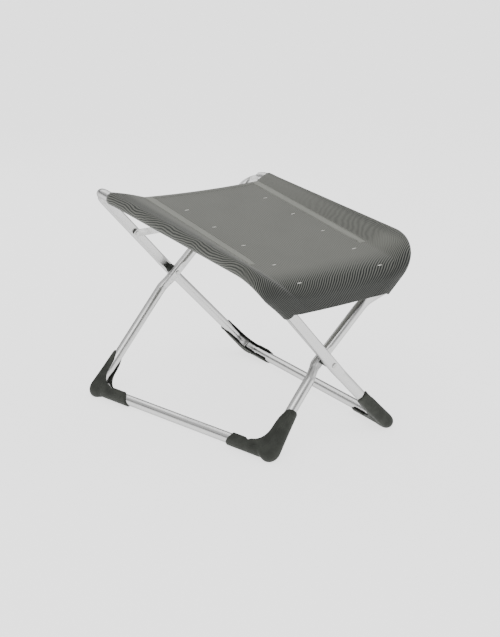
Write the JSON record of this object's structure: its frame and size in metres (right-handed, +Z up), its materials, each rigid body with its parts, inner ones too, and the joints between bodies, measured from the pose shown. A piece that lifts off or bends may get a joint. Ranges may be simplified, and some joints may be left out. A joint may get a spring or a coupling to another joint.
{
  "type": "camp stool",
  "caption": "Folding camp stool: crossed aluminium tube loops pivoted at the legs, a sloping mesh sling seat with a rolled front edge, and a folding rear brace.",
  "frame": {"origin": "on the floor under the middle of the stool's box", "axes": "+Z up, +Y towards the high back edge of the seat along the ground runs, +X towards the inner loop's top run"},
  "size_m": [0.4176, 0.524, 0.4028],
  "materials": {
    "tube": "polished, lightly fluted",
    "rivet_steel": "satin",
    "plated_steel": "zinc plated",
    "black_plastic": "moulded, fine grain",
    "mesh_cloth": "coated open mesh weave",
    "seam_cloth": "doubled mesh, stitched"
  },
  "bodies": {
    "outer_frame": {"outer_loop": "tube", "outer_spigot": "tube", "outer_spigot_rivets": "rivet_steel", "outer_boot_front": "black_plastic", "outer_boot_rear": "black_plastic", "outer_boot_rivet_front": "rivet_steel", "outer_boot_rivet_rear": "rivet_steel", "pivot_rivet_front": "rivet_steel", "pivot_rivet_rear": "rivet_steel", "pivot_bush_front": "black_plastic", "pivot_bush_rear": "black_plastic", "pivot_washers": "rivet_steel", "brace_spacer_left": "black_plastic", "brace_rivet_left": "rivet_steel", "seat_panel": "mesh_cloth", "nose_lining": "mesh_cloth", "pocket_left": "mesh_cloth", "seam_band_left": "seam_cloth"},
    "inner_frame": {"inner_loop": "tube", "inner_spigot": "tube", "inner_spigot_rivets": "rivet_steel", "inner_boot_front": "black_plastic", "inner_boot_rear": "black_plastic", "inner_boot_rivet_front": "rivet_steel", "inner_boot_rivet_rear": "rivet_steel", "brace_spacer_right": "black_plastic", "brace_rivet_right": "rivet_steel", "pocket_right": "mesh_cloth", "seam_band_right": "seam_cloth"},
    "brace_left": {"brace_link_left": "plated_steel", "brace_mid_rivet_left": "rivet_steel"},
    "brace_right": {"brace_link_right": "plated_steel", "brace_mid_rivet_right": "rivet_steel"}
  },
  "joints": [
    {"name": "fold", "type": "hinge", "parent": "outer_frame", "child": "inner_frame", "pos_m": [-0.00147, 0.011, 0.181], "axis": [0, -0.9886, -0.1506], "range_deg": [0, 77.2], "deforming": ["seat_panel", "nose_lining", "pocket_left", "pocket_right", "seam_band_left", "seam_band_right"]},
    {"name": "brace_left_hinge", "type": "hinge", "parent": "outer_frame", "child": "brace_left", "pos_m": [-0.0864, 0.22618, 0.30236], "axis": [0, 0.9886, 0.1506], "range_deg": [0, 43.6]},
    {"name": "brace_right_hinge", "type": "hinge", "parent": "inner_frame", "child": "brace_right", "pos_m": [0.08346, 0.22173, 0.30169], "axis": [0, -0.9886, -0.1506], "range_deg": [0, 43.6]}
  ],
  "couplings": [
    {"joint": "brace_left_hinge", "follows": "fold", "ratio": 0.56275},
    {"joint": "brace_right_hinge", "follows": "fold", "ratio": 0.56275}
  ]
}
